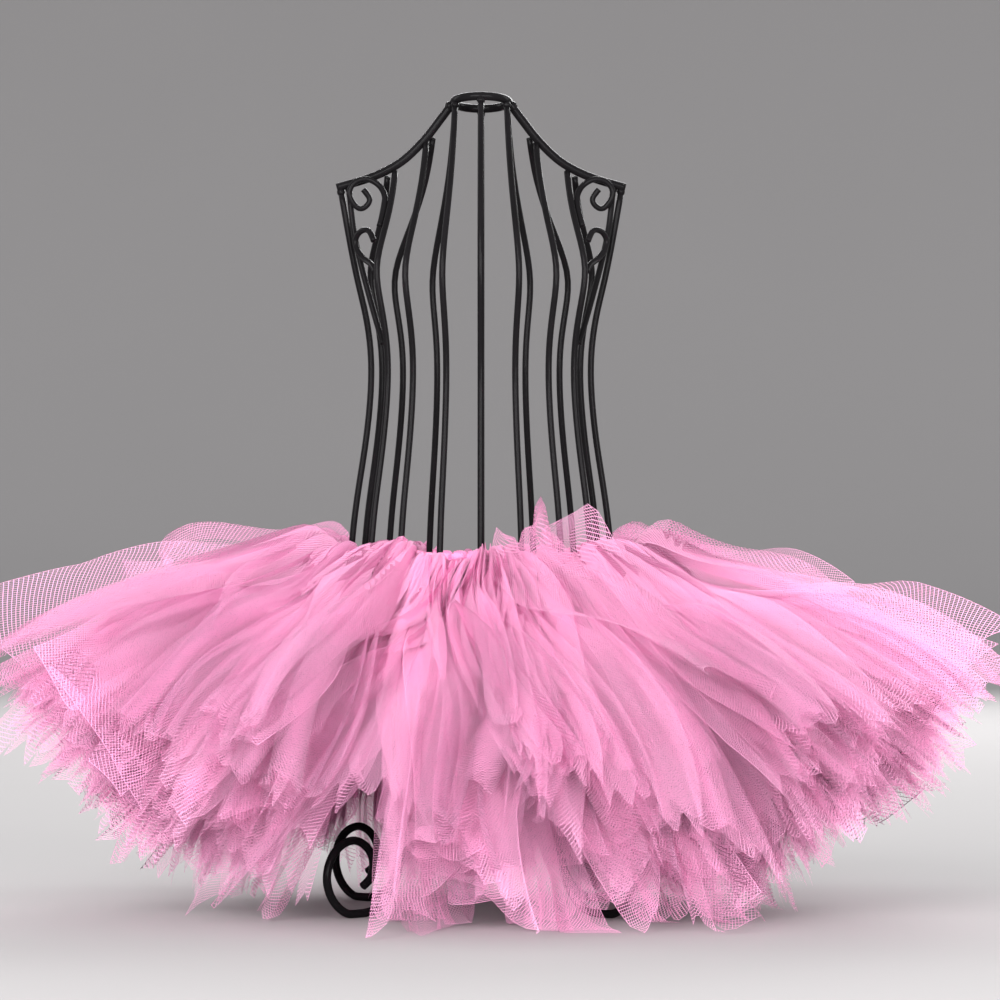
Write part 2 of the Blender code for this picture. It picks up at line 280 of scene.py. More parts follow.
@dataclass(frozen=True)
class Net:
    """Soft nylon net: fine threads that cross in diamonds, seen through where it is open.

    Attributes:
        hold: how tightly it is held.
        sheet: the size of a bundle's flat layout, in metres.
        tail: the size of one tail in the layout, in metres.
        pitch: the distance between threads, in metres.
        slant: the threads' angle to the strip, in radians.
        thread: a thread's share of the pitch.
        bunched_thread: its share where layers are drawn together.
        gathered: the share of a tail over which it opens.
        cut_edge: the width of the cut edge, in metres.
        pale: the colour where light spreads most.
        deep: the colour where it spreads least.
        bunched: the deep colour in a knot, partly the gathered net's own deep pink and partly
            painted shade for its gathered layers.
        glow: the colour of light that passes through.
        through: the share of light that passes through.
    """

    hold: Hold
    sheet: tuple[float, float]
    tail: tuple[float, float]
    pitch: float = 0.00100
    slant: float = math.radians(27)
    thread: float = 0.14
    bunched_thread: float = 0.5
    gathered: float = 0.6
    cut_edge: float = 0.00015
    pale: Colour = (0.975, 0.530, 0.750)
    deep: Colour = (0.970, 0.415, 0.680)
    bunched: Colour = (0.950, 0.190, 0.480)
    glow: Colour = (0.980, 0.395, 0.680)
    through: float = 0.5

    def material(self) -> bpy.types.Material:
        """Makes the material: threads that scatter light to both sides, and open holes."""
        shader = Shader(f"net_{self.hold.value}")
        place = shader.add("ShaderNodeUVMap", {"uv_map": NET_MAP}).outputs[0]
        split = shader.add("ShaderNodeSeparateXYZ", None, {0: place})
        over, along = shader.signal(split, 0), shader.signal(split, 1)
        near, far = math.cos(self.slant) / self.pitch, math.sin(self.slant) / self.pitch
        weft = over * (self.sheet[0] * near) + along * (self.sheet[1] * far)
        warp = along * (self.sheet[1] * near) - over * (self.sheet[0] * far)
        crossing = weft.part().least(warp.part())
        if self.hold is Hold.OPEN:
            edge = (over * self.sheet[0]).folded(self.tail[0])
            edge = edge.least((along * self.sheet[1]).folded(self.tail[1]))
            from_knot = (along * (self.sheet[1] / self.tail[1])).part()
            closed = 1 - (from_knot / self.gathered).least(1.0)
            width = self.thread + closed * (self.bunched_thread - self.thread)
            threads = crossing.least(edge * (self.thread / self.cut_edge)).below(width)
        else:
            threads = crossing.below(self.bunched_thread)
        patches = shader.noise(34.0, 1.0)
        # In a knot the darker colour is partly the gathered net's deep pink and partly painted
        # shade.
        fibre = shader.add(
            "ShaderNodeBsdfPrincipled",
            None,
            {
                "Base Color": shader.tint(
                    patches, self.deep if self.hold is Hold.OPEN else self.bunched, self.pale
                ),
                "Roughness": 0.55,
                "Sheen Weight": 0.1,
                "Sheen Roughness": 0.4,
                "Specular IOR Level": 0.15,
            },
        )
        lit = shader.add("ShaderNodeBsdfTranslucent", None, {"Color": (*self.glow, 1.0)})
        both = shader.add(
            "ShaderNodeMixShader", None, {0: self.through, 1: fibre.outputs[0], 2: lit.outputs[0]}
        )
        open_air = shader.add("ShaderNodeBsdfTransparent")
        surface = shader.add(
            "ShaderNodeMixShader", None, {0: threads, 1: open_air.outputs[0], 2: both.outputs[0]}
        )
        return shader.finish(surface.outputs[0])


@dataclass(frozen=True)
class KnitElastic:
    """Knitted elastic ribbon, with fine cords along it and ribs across."""

    name: str = "knit_elastic"
    # The two colours are painted shade: darker in the knit's hollows, lighter on its ridges.
    shaded_valley: Colour = (0.80, 0.12, 0.36)
    crest: Colour = (0.93, 0.26, 0.52)
    cord: float = 0.0011
    stitch: float = 0.0009

    def material(self) -> bpy.types.Material:
        """Makes the material: cords along the band, crossed by stitches, with painted shade that
        darkens the hollows between them and lightens their ridges.
        """
        shader = Shader(self.name)
        place = shader.add("ShaderNodeUVMap", {"uv_map": NET_MAP}).outputs[0]
        split = shader.add("ShaderNodeSeparateXYZ", None, {0: place})
        cords = (shader.signal(split, 1) * (math.tau / self.cord)).sine() * 0.5 + 0.5
        stitches = (shader.signal(split, 0) * (math.tau / self.stitch)).sine() * 0.5 + 0.5
        weave = cords * (0.55 + 0.45 * stitches)
        bump = shader.add(
            "ShaderNodeBump", None, {"Strength": 0.7, "Distance": 0.0004, "Height": weave}
        )
        cloth = shader.add(
            "ShaderNodeBsdfPrincipled",
            None,
            {
                "Base Color": shader.tint(weave, self.shaded_valley, self.crest),
                "Roughness": 0.72,
                "Sheen Weight": 0.3,
                "Normal": bump.outputs["Normal"],
            },
        )
        return shader.finish(cloth.outputs[0])


@dataclass(frozen=True)
class StudioPaper:
    """Plain pale paper, for the floor and the backdrop."""

    name: str = "studio_paper"
    colour: Colour = (0.34, 0.330, 0.330)

    def material(self) -> bpy.types.Material:
        """Makes the material: matt, with hardly any variation."""
        shader = Shader(self.name)
        grain = shader.noise(3.0)
        soft = tuple(c * 0.97 for c in self.colour)
        paper = shader.add(
            "ShaderNodeBsdfPrincipled",
            None,
            {
                "Base Color": shader.tint(grain, soft, self.colour),
                "Roughness": 0.9,
                "Specular IOR Level": 0.1,
            },
        )
        return shader.finish(paper.outputs[0])


# Meshes


@dataclass
class Patch:
    """A surface made of rows of points.

    Attributes:
        points: where the points are.
        places: where they lie in the flat layout.
        slot: which of the piece's materials it has.
        facing: which way the net as a whole faces at each point, for light that spreads in it.
    """

    points: np.ndarray
    places: np.ndarray
    slot: int = 0
    facing: np.ndarray | None = None

    def quads(self, first: int) -> np.ndarray:
        """The patch's faces, by the number of its first point in the whole mesh."""
        rows, columns = self.points.shape[:2]
        corner = first + np.arange(rows * columns).reshape(rows, columns)
        ring = (corner[:-1, :-1], corner[1:, :-1], corner[1:, 1:], corner[:-1, 1:])
        return np.stack([c.ravel() for c in ring], 1)


def mesh_of(
    name: str, patches: list[Patch], materials: list[bpy.types.Material]
) -> bpy.types.Object:
    """Joins patches into one smooth mesh object, and closes the seams where their edges meet.

    Args:
        name: the object's name.
        patches: its surfaces.
        materials: its materials, by the patches' slots.

    Returns:
        The new object, linked to the scene.
    """
    first = 0
    faces, slots = [], []
    for patch in patches:
        quads = patch.quads(first)
        faces.append(quads)
        slots.append(np.full(len(quads), patch.slot))
        first += patch.points.shape[0] * patch.points.shape[1]
    points = np.concatenate([p.points.reshape(-1, 3) for p in patches])
    places = np.concatenate([p.places.reshape(-1, 2) for p in patches])
    quads = np.concatenate(faces)
    mesh = bpy.data.meshes.new(name)
    mesh.from_pydata(points, [], quads)
    mesh.uv_layers.new(name=NET_MAP).uv.foreach_set(
        "vector", places[quads.ravel()].astype(np.float32).ravel()
    )
    mesh.polygons.foreach_set("material_index", np.concatenate(slots).astype(np.int32))
    facing = [np.zeros_like(p.points) if p.facing is None else p.facing for p in patches]
    facing = np.concatenate([f.reshape(-1, 3) for f in facing]).astype(np.float32)
    if facing.any():
        lies = mesh.attributes.new(FACING, "FLOAT_VECTOR", "POINT")
        lies.data.foreach_set("vector", facing.ravel())
    for material in materials:
        mesh.materials.append(material)
    seams = bmesh.new()
    seams.from_mesh(mesh)
    bmesh.ops.remove_doubles(seams, verts=seams.verts, dist=SEAM_DISTANCE)
    seams.to_mesh(mesh)
    seams.free()
    mesh.shade_smooth()
    if FACING in mesh.attributes:
        soften(mesh)
    return placed(name, mesh)


def placed(name: str, data: bpy.types.ID) -> bpy.types.Object:
    """A new object in the scene, made of the data."""
    piece = bpy.data.objects.new(name, data)
    bpy.context.scene.collection.objects.link(piece)
    return piece


def soften(mesh: bpy.types.Mesh) -> None:
    """Turns normals part of the way to the net's facing, because light spreads in net.

    Args:
        mesh: the mesh, whose facing is read and then removed.
    """
    facing = np.empty(len(mesh.vertices) * 3, np.float32)
    mesh.attributes[FACING].data.foreach_get("vector", facing)
    mesh.attributes.remove(mesh.attributes[FACING])
    normals = np.empty_like(facing)
    mesh.vertex_normals.foreach_get("vector", normals)
    turned = blend(normals, facing, LIGHT_SPREAD).reshape(-1, 3)
    turned /= np.linalg.norm(turned, axis=1, keepdims=True)
    mesh.normals_split_custom_set_from_vertices(turned)


def blend(low: Any, high: Any, share: Any) -> Any:
    """The value a share of the way from low to high."""
    return low + (high - low) * share


def eased(share: Any) -> Any:
    """A share from 0 to 1 that starts and ends gently."""
    held = np.clip(share, 0.0, 1.0)
    return held * held * (3 - 2 * held)


# The waist


@dataclass
class Waistband:
    """The elastic round the waist, read from its node in the frame."""

    knots: int = 27
    thickness: float = 0.0012
    depth_reach: float = 0.86
    samples: int = 720
    points_round: int = 192
    points_across: int = 9
    node: str = "waist_elastic"
    half_width: float = field(init=False)
    half_depth: float = field(init=False)
    height: float = field(init=False)
    half_height: float = field(init=False)

    def __post_init__(self) -> None:
        """Reads the band's middle line, and lays off equal steps along it."""
        low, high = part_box(self.node)
        self.half_width = (high.x - low.x) / 2 - self.thickness / 2
        self.half_depth = (high.y - low.y) / 2 - self.thickness / 2
        self.height = (high.z + low.z) / 2
        self.half_height = (high.z - low.z) / 2
        self._turns = np.linspace(0.0, math.tau, self.samples + 1)
        x, y = self.half_width * np.sin(self._turns), self.half_depth * np.cos(self._turns)
        steps = np.hypot(np.diff(x), np.diff(y))
        self._lengths = np.concatenate([[0.0], np.cumsum(steps)])
        self.length = float(self._lengths[-1])
        self.pitch = self.length / self.knots

    def turn_at(self, place: float) -> float:
        """The turn from the front, in radians, at a place counted in knots along the elastic."""
        wrapped = (place % self.knots) * self.pitch
        return float(np.interp(wrapped, self._lengths, self._turns))

    def point(self, turn: Any, out: Any) -> np.ndarray:
        """A point of the plan.

        Args:
            turn: how far round from the front, in radians, towards +X.
            out: how far outside the elastic's middle line, in metres.

        Returns:
            Its x and y.
        """
        x = (self.half_width + out) * np.sin(turn)
        y = -(self.half_depth + out * self.depth_reach) * np.cos(turn)
        return np.stack(np.broadcast_arrays(x, y), -1)

    def build(self, material: bpy.types.Material) -> bpy.types.Object:
        """Makes the ribbon, closed round its section, and dresses it.

        Args:
            material: the elastic's material.

        Returns:
            The ribbon.
        """
        turn = np.linspace(0.0, math.tau, self.points_round + 1)
        corner = np.linspace(0.0, math.tau, 4 * self.points_across + 1)
        out = self.thickness / 2 * np.tanh(6 * np.cos(corner)) / math.tanh(6)
        rise = self.half_height * np.tanh(2.2 * np.sin(corner)) / math.tanh(2.2)
        plan = self.point(turn[:, None], out[None, :])
        high = np.broadcast_to(self.height + rise, plan.shape[:2])
        points = np.concatenate([plan, high[..., None]], -1)
        around = np.broadcast_to((turn / math.tau * self.length)[:, None], plan.shape[:2])
        across = np.broadcast_to(
            np.linspace(0.0, 4 * self.half_height, len(corner)), plan.shape[:2]
        )
        band = mesh_of("elastic_band", [Patch(points, np.stack([around, across], -1))], [material])
        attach(band, BODY)
        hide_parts(self.node)
        LOG.info("elastic band: %.0f mm round", self.length * 1000)
        return band


# The tails


@dataclass(frozen=True)
class Fall:
    """How a tail leaves the waist and where its end lies.

    Attributes:
        dip: degrees below level from the knot to its end.
        length: metres from the knot to its end.
        rise: degrees above level where it leaves the waist.
    """

    dip: float
    length: float
    rise: float = 0.0

    def towards(self, other: "Fall", share: float) -> "Fall":
        """The dip and length a share of the way from this fall to the other."""
        return Fall(blend(self.dip, other.dip, share), blend(self.length, other.length, share))


class Tier(Enum):
    """The layers of tails: their knots' height, and their fall at the sides, front and back."""

    UPPER = (0.0060, Fall(11.0, 0.166), Fall(23.0, 0.172), Fall(24.0, 0.170))
    MIDDLE = (0.0, Fall(26.0, 0.160), Fall(42.0, 0.172), Fall(38.0, 0.166))
    LOWER = (-0.0062, Fall(51.0, 0.157), Fall(66.0, 0.168), Fall(56.0, 0.164))

    @property
    def steps(self) -> tuple[float, ...]:
        """How many degrees each of a bundle's tails lies below the tier's fall, at the sides."""
        return {
            Tier.UPPER: (0.0, 7.5, 9.0, 11.0, 13.0, 15.0, 17.5, 20.0),
            Tier.MIDDLE: (-1.0, 1.0, 3.0, 6.0, 9.0, 12.0, 15.0, 18.0),
            Tier.LOWER: (-5.0, -2.0, 1.0, 5.0, 9.0, 12.0, 15.0, 18.0),
        }[self]

    def fall(self, turn: float) -> Fall:
        """The tier's fall at a turn round the waist."""
        _, side, front, back = self.value
        facing = math.cos(turn)
        even = side.towards(front if facing > 0 else back, abs(facing) ** 3)
        return replace(even, length=even.length * (1 + 0.03 * math.sin(turn)))


@dataclass
class Tail:
    """One free end of a strip: gathered at the knot, open and square-cut at the other end.

    Attributes:
        turn: its knot's place round the waist, in radians from the front.
        height: the height of its knot above the middle of the elastic.
        fall: how it leaves the waist and where it ends.
        spread: the width of its open end, in metres.
        veer: how far it leans sideways at its end, in radians.
        twist: how far its width turns about its length, in radians.
        skew: how much longer one side is than the middle, as a share.
        taper: how much narrower its very end is than its widest place, as a share.
        folds: how many soft folds cross its open end.
        crumple: the depth of its small creases, in metres.
        wander: how far it bends to and fro on its way, in metres.
        seed: the seed of its own creases.
        puff: how high the gathers bulge beside the waist, in metres.
        hump: the height of a peak near the waist, in metres.
        opening: how soon it opens after the knot; less is sooner.
        bare: the share of the tail that the knot takes up.
        root_folds: how many folds cross it beside the knot.
        flat_width: the width of the strip, in metres.
        knot_width: the width that the knot draws it to, in metres.
        corner: how much longer the cut end's corners are than its middle, as a share.
        ragged: how uneven the cut end is, as a share of the length.
        columns: how many faces it has across.
        rows: how many faces it has along.
        start_out: how far outside the elastic's middle line it starts, in metres.
        bend_share: where its middle line bends, as a share of the length.
        crest_share: where its puff and hump are highest, as a share of the length.
        floor: the lowest height that it reaches, in metres.
    """

    turn: float
    height: float
    fall: Fall
    spread: float
    veer: float
    twist: float
    skew: float
    taper: float
    folds: float
    crumple: float
    wander: float
    seed: int
    puff: float = 0.0
    hump: float = 0.0
    opening: float = 0.72
    bare: float = 0.0
    root_folds: float = 9.0
    flat_width: float = 0.152
    knot_width: float = 0.0055
    corner: float = 0.05
    ragged: float = 0.03
    columns: int = 48
    rows: int = 32
    start_out: float = 0.0030
    bend_share: float = 0.45
    crest_share: float = 0.07
    floor: float = 0.0008

    @property
    def half_fan(self) -> float:
        """How many degrees the upper corner of its open end stands above the middle line."""
        upright = 0.5 * self.spread * abs(math.sin(self.twist))
        return math.degrees(math.asin(upright / self.fall.length))

    def _line(self, waist: Waistband, share: np.ndarray) -> tuple[np.ndarray, np.ndarray]:
        """The middle line and its direction in the plane that holds it.

        Args:
            waist: the elastic.
            share: how far along the tail, from 0 to 1.

        Returns:
            The (out, height) points and their unit directions.
        """
        rise, dip = math.radians(self.fall.rise), math.radians(self.fall.dip)
        length = self.fall.length
        start = np.array([self.start_out, waist.height + self.height])
        bend = start + self.bend_share * length * np.array([math.cos(rise), math.sin(rise)])
        end = start + length * np.array([math.cos(dip), -math.sin(dip)])
        s = share[..., None]
        point = start * (1 - s) ** 2 + bend * 2 * s * (1 - s) + end * s**2
        way = (bend - start) * (1 - s) + (end - bend) * s
        crest, near, far, start_share = self.crest_share, 0.06, 0.10, 0.03
        beside = share / crest
        point[..., 1] += self.puff * beside * np.exp(1 - beside)
        if self.hump:
            apart = (share - crest) / np.where(share < crest, near, far)
            point[..., 1] += self.hump / (1 + apart**2) ** 1.5 * np.minimum(1, share / start_share)
        return point, way / np.linalg.norm(way, axis=-1, keepdims=True)

    def _section(self, across: np.ndarray, share: np.ndarray) -> tuple[np.ndarray, np.ndarray]:
        """The folded section of each row, as long as the flat net is wide.

        Args:
            across: the place across, from -1 to 1, one column each.
            share: the place along, from 0 to 1, one row each.

        Returns:
            Sideways and upright offsets of every point.
        """
        rng = np.random.default_rng(self.seed)
        u, s = across[None, :], share[:, None]
        width = blend(self.knot_width, self.spread * (1 - self.taper * s**4), s**self.opening)
        uneven = u + 0.2 * np.sin(math.pi * rng.uniform(0.7, 1.5) * u + rng.uniform(0, math.tau))
        x = width / 2 * u
        z = np.zeros_like(x)
        table = (
            (self.root_folds, np.exp(-s / 0.10)),
            (5.0, 0.8 * np.exp(-(((s - 0.28) / 0.24) ** 2))),
            (self.folds + 1.3, 0.55 * s),
            (self.folds, s**1.2),
        )
        for folds, weight in table:
            phase = math.pi * folds * uneven + rng.uniform(0, math.tau) + rng.uniform(-1.6, 1.6) * s
            z = z + weight / folds * np.sin(phase)
            x = x + weight * 0.2 * width / folds * np.sin(2 * phase)
        z = z + rng.uniform(-0.25, 0.25) * s * (u**2 - 0.33)
        low, high = np.zeros_like(s), np.full_like(s, 0.2)
        for _ in range(13):
            middle = (low + high) / 2
            length = np.hypot(np.diff(x, axis=1), middle * np.diff(z, axis=1)).sum(1, keepdims=True)
            long = length > self.flat_width
            low, high = np.where(long, low, middle), np.where(long, middle, high)
        return x, z * low

    def _creases(self, across: np.ndarray, share: np.ndarray) -> np.ndarray:
        """Small creases left by handling, mostly along the tail.

        Args:
            across: the place across, from -1 to 1.
            share: the place along, from 0 to 1.

        Returns:
            The height of the creases at each point, from about -1 to 1.
        """
        rng = np.random.default_rng(self.seed + CREASE_SEED)
        wide, far = across[None, :] * self.flat_width / 2, share[:, None] * self.fall.length
        total = np.zeros((len(share), len(across)))
        for step in range(6):
            over = rng.uniform(60, 150) * (1 + 0.4 * step)
            down = rng.uniform(-70, 70) * (1 + 0.2 * step)
            phase = over * wide + down * far + rng.uniform(0, math.tau)
            bent = phase + 0.8 * np.sin(0.6 * down * far + rng.uniform(0, math.tau))
            total += (1 - 2 * np.abs(np.sin(bent / 2))) / (1 + step)
        return total / 1.6

    def patch(self, waist: Waistband, corner: Pair, cell: Pair) -> Patch:
        """Makes the tail's surface.

        Args:
            waist: the elastic.
            corner: where the tail's part of the flat layout starts, from 0 to 1.
            cell: the size of that part, from 0 to 1.

        Returns:
            The surface.
        """
        rng = np.random.default_rng(self.seed + EDGE_SEED)
        across = np.linspace(-1.0, 1.0, self.columns + 1)
        share = np.linspace(0.0, 1.0, self.rows + 1)
        u, s = np.meshgrid(across, share)
        ragged = self.ragged * np.sin(math.tau * self.folds * u + rng.uniform(0, math.tau)) * s**4
        reach = s * (1 + s * (self.corner * (u**2 - 0.6) + self.skew * u) + ragged)
        point, way = self._line(waist, reach)
        x, z = self._section(across, share)
        z = z + self.crumple * eased(s * 6) * self._creases(across, share)
        for offset, strength in ((x, 1.0), (z, 0.7)):
            swing = rng.uniform(4.0, 9.0) * s + rng.uniform(0, math.tau)
            offset += strength * self.wander * eased(s * 2) * np.sin(swing)
        lean = self.veer * s
        outward = np.array([math.sin(self.turn), -waist.depth_reach * math.cos(self.turn), 0.0])
        level = np.array([math.cos(self.turn), math.sin(self.turn), 0.0])
        forward = np.cos(lean)[..., None] * outward + np.sin(lean)[..., None] * level
        sideways = np.cos(lean)[..., None] * level - np.sin(lean)[..., None] * outward
        sideways /= np.linalg.norm(sideways, axis=-1, keepdims=True)
        along = forward * way[..., :1] + np.array([0.0, 0.0, 1.0]) * way[..., 1:]
        upright = np.cross(sideways, along)
        turned = self.twist * eased(s * 1.3)
        over = x * np.cos(turned) - z * np.sin(turned)
        up = x * np.sin(turned) + z * np.cos(turned)
        base = waist.point(self.turn, 0.0)
        middle = forward * point[..., :1]
        middle[..., :2] += base
        middle[..., 2] = point[..., 1]
        points = middle + sideways * over[..., None] + upright * up[..., None]
        points = self._on_floor(points, forward)
        far = self.bare + (1 - self.bare) * s
        laid = np.zeros_like(u)
        laid[:, 1:] = np.linalg.norm(np.diff(points, axis=1), axis=-1).cumsum(axis=1)
        laid /= laid[:, -1:]
        places = np.stack([corner[0] + laid * cell[0], corner[1] + far * cell[1]], -1)
        facing = sideways * np.sin(turned)[..., None] - upright * np.cos(turned)[..., None]
        return Patch(points, places, facing=facing)

    def _on_floor(self, points: np.ndarray, forward: np.ndarray) -> np.ndarray:
        """Lets what would pass through the floor lie on it, a little further out.

        Args:
            points: the tail's points.
            forward: the way outward at each.

        Returns:
            The points, none below the floor.
        """
        soft = 0.0025
        rise = (points[..., 2] - self.floor) / soft
        held = soft * np.where(rise > 30, rise, np.log1p(np.exp(np.minimum(rise, 30))))
        lifted = self.floor + held - points[..., 2]
        points = points + forward * (0.5 * lifted)[..., None]
        points[..., 2] = self.floor + held
        return points


@dataclass
class Knot:
    """A strip's fold, drawn tight round the elastic."""

    turn: float
    height: float
    seed: int
    width: float = 0.0064
    clear: float = 0.0009
    bulge: float = 0.0013
    wrinkles: int = 5
    points_round: int = 44
    points_across: int = 16

    def patch(self, waist: Waistband, corner: Pair, cell: Pair) -> Patch:
        """Makes the loop: thicker in the middle, with fine wrinkles round the elastic.

        Args:
            waist: the elastic.
            corner: where the knot's part of the flat layout starts, from 0 to 1.
            cell: the size of that part, from 0 to 1.

        Returns:
            The surface.
        """
        rng = np.random.default_rng(self.seed)
        around = np.linspace(0.0, math.tau, self.points_round + 1)
        across = np.linspace(-1.0, 1.0, self.points_across + 1)
        w, a = np.meshgrid(across, around)
        wave = np.sin(math.pi * self.wrinkles * w + rng.uniform(0, math.tau) + 0.5 * np.sin(a))
        fat = self.clear + self.bulge * np.sqrt(np.maximum(0.0, 1 - w**2)) * (0.8 + 0.2 * wave)
        out = (waist.thickness / 2 + fat) * np.tanh(2.2 * np.cos(a)) / math.tanh(2.2)
        rise = (waist.half_height + fat) * np.tanh(2.6 * np.sin(a)) / math.tanh(2.6)
        pinch = 1 - 0.16 * np.maximum(0.0, np.cos(a))
        side = self.width / 2 * w * pinch
        turn = self.turn + side / math.hypot(
            waist.half_width * math.cos(self.turn), waist.half_depth * math.sin(self.turn)
        )
        plan = waist.point(turn, out)
        points = np.concatenate([plan, (waist.height + rise)[..., None]], -1)
        places = np.stack(
            [corner[0] + (w + 1) / 2 * cell[0], corner[1] + a / math.tau * cell[1]], -1
        )
        return Patch(points, places, slot=1)


@dataclass(frozen=True)
class OpenTail:
    """A top tail that lies open and hardly folds, so that one layer of its net shows.

    Its numbers are a Fall's and a Tail's, and its dip is that of its end's upper corner.
    """

    dip: float
    length: float
    spread: float
    twist: float
    veer: float
    skew: float


@dataclass(frozen=True)
class FrontManner:
    """The ranges of a Tail's numbers in front, and how far they lean aside there, in radians."""

    spread: tuple[float, float]
    taper: tuple[float, float]
    folds: tuple[float, float]
    aside: float


FRONT_MANNERS = {
    Tier.UPPER: FrontManner((0.030, 0.075), (0.3, 0.8), (3.0, 5.0), 0.10),
    Tier.MIDDLE: FrontManner((0.036, 0.090), (0.1, 0.5), (2.4, 4.4), 0.25),
    Tier.LOWER: FrontManner((0.070, 0.125), (0.0, 0.3), (1.2, 3.0), 0.45),
}


@dataclass(frozen=True)
class Parting:
    """Where the front net parts round a foot of the form.

    Attributes:
        middle: the middle of the gap, along x in metres.
        half: half its width, in metres.
        below: the height under which tails lean aside, in metres.
    """

    middle: float = -0.058
    half: float = 0.017
    below: float = 0.048


OPEN_TAILS = {
    (18, 0): OpenTail(6.0, 0.165, 0.12, 1.2, -0.20, 0.04),
    (18, 1): OpenTail(11.0, 0.162, 0.12, 1.1, 0.35, 0.0),
    (21, 1): OpenTail(10.0, 0.165, 0.11, 1.2, 0.25, 0.06),
    (6, 0): OpenTail(13.5, 0.158, 0.12, 1.2, 0.0, 0.02),
    (6, 1): OpenTail(19.0, 0.166, 0.09, 1.1, 0.05, 0.05),
    (9, 0): OpenTail(8.0, 0.166, 0.11, 1.3, 0.0, 0.22),
}


@dataclass
class Bundle:
    """Two neighbouring knots of two strips each, which one node of the frame stands for.

    Attributes:
        index: its number round the waist, from the front.
        strip_width: the width of the roll that the strips are cut from, in metres.
        strip_length: the length that they are cut to, in metres.
        knot_count: how many knots it has.
        tails_across: how many strips lie side by side in the flat layout.
        tails_along: how many tails one strip makes.
        knot_share: the share of the layout's length that is kept for the knots.
        raised: the bundle and the tail that stand up as a peak beside the front.
        peak: how high that peak is, in metres.
        parting: where the front net parts.
    """

    index: int
    strip_width: float = 0.152
    strip_length: float = 0.406
    knot_count: int = 2
    tails_across: int = 4
    tails_along: int = 2
    knot_share: float = 0.06
    raised: tuple[int, int] = (3, 0)
    peak: float = 0.013
    parting: Parting = Parting()

    def __post_init__(self) -> None:
        """Names the bundle by its tier."""
        self.tier = list(Tier)[self.index % len(Tier)]
        self.number = self.index // len(Tier) + 1
        self.node = f"strip_{self.tier.name.lower()}_{self.number}"
        self.name = f"tulle_{self.tier.name.lower()}_{self.number}"

    @property
    def layout(self) -> tuple[float, float]:
        """The size of the flat layout: the tails side by side, and the knots beyond them."""
        across = self.tails_across * self.strip_width
        along = self.tails_along * self.strip_length / 2
        return across, along / (1 - self.knot_share)

    def _knot_turn(self, waist: Waistband, knot: int) -> float:
        """The turn of one of the bundle's knots."""
        return waist.turn_at(self.index + (knot + 0.5) / self.knot_count)

    def _tail(self, waist: Waistband, number: int, step: float, rng: np.random.Generator) -> Tail:
        """Makes one tail, with its own lean, twist and folds.

        Args:
            waist: the elastic.
            number: its number in the bundle; the first lies on top.
            step: how many degrees it lies below the tier's fall, at the sides.
            rng: the bundle's random numbers.

        Returns:
            The tail.
        """
        turn = self._knot_turn(waist, number % self.knot_count)
        front = max(0.0, math.cos(turn)) ** 3
        side = abs(math.sin(turn)) ** 2
        fall = self.tier.fall(turn)
        upper, lower = self.tier is Tier.UPPER, self.tier is Tier.LOWER
        manner = FRONT_MANNERS[self.tier]
        beside = math.remainder(turn, math.tau)
        dip = fall.dip + step * blend(1.0, 0.8, front) + rng.uniform(-3, 3)
        if lower and number % 2:
            dip -= 18 * front
        arch = rng.uniform(4, 20)
        tail = Tail(
            turn=turn,
            height=0.0045 + self.tier.value[0] * 0.3,
            fall=Fall(dip, fall.length * rng.uniform(blend(0.96, 0.90, front), 1.03)),
            spread=blend(rng.uniform(0.075, 0.125), rng.uniform(*manner.spread), front),
            veer=rng.uniform(-0.2, 0.2) + manner.aside * front * math.tanh(beside / 0.2),
            twist=rng.uniform(-1.2, 1.2),
            skew=rng.uniform(-0.06, 0.06) + front * rng.uniform(-0.3, 0.3),
            taper=blend(rng.uniform(0.0, 0.3), rng.uniform(*manner.taper), front),
            folds=blend(rng.uniform(5.5, 8.5), rng.uniform(*manner.folds), front),
            crumple=blend(0.0012, 0.0024, front) * rng.uniform(0.7, 1.3),
            wander=blend(0.002, 0.006, front) * rng.uniform(0.5, 1.3),
            seed=TAIL_SEED + self.index * 10 + number,
            puff=blend(0.003, 0.008, side) * rng.uniform(0.4, 1.2),
        )
        if upper and number == 0:
            arch = blend(15.0, arch, front)
        if (self.index, number) in OPEN_TAILS:
            plan = OPEN_TAILS[self.index, number]
            arch, dip = 15.0, plan.dip
            tail.fall = replace(tail.fall, length=plan.length)
            tail.spread, tail.twist, tail.veer = plan.spread, plan.twist, plan.veer
            tail.skew, tail.folds, tail.wander, tail.taper = plan.skew, 0.9, 0.001, 0.0
            tail.bare = 0.45
        if (self.index, number) == self.raised:
            tail.hump, tail.spread, tail.twist, tail.folds = self.peak, 0.12, 0.5, 1.0
            tail.opening, tail.bare, tail.root_folds = 0.45, 0.45, 1.6
            tail.turn, tail.veer = tail.turn - 0.35, 0.45
        if upper:
            dip += (0.9 if number == 0 or tail.folds < 1 else 0.55) * tail.half_fan
        tail.fall = replace(tail.fall, rise=arch - dip, dip=dip)
        self._part(waist, tail)
        return tail

    def _part(self, waist: Waistband, tail: Tail) -> None:
        """Leans a low front tail aside where the net parts round a foot.

        Args:
            waist: the elastic.
            tail: the tail, whose veer is changed.
        """
        dip = math.radians(tail.fall.dip)
        reach = tail.fall.length * math.cos(dip)
        low = waist.height - tail.fall.length * math.sin(dip) < self.parting.below
        base = waist.half_width * math.sin(tail.turn)
        end = base + reach * math.sin(tail.turn + tail.veer) - self.parting.middle
        clear = self.parting.half + tail.spread * 0.35
        if low and math.cos(tail.turn) > 0.3 and abs(end) < clear:
            aim = self.parting.middle + math.copysign(clear, end)
            tail.veer = math.asin(np.clip((aim - base) / reach, -1, 1)) - math.remainder(
                tail.turn, math.tau
            )

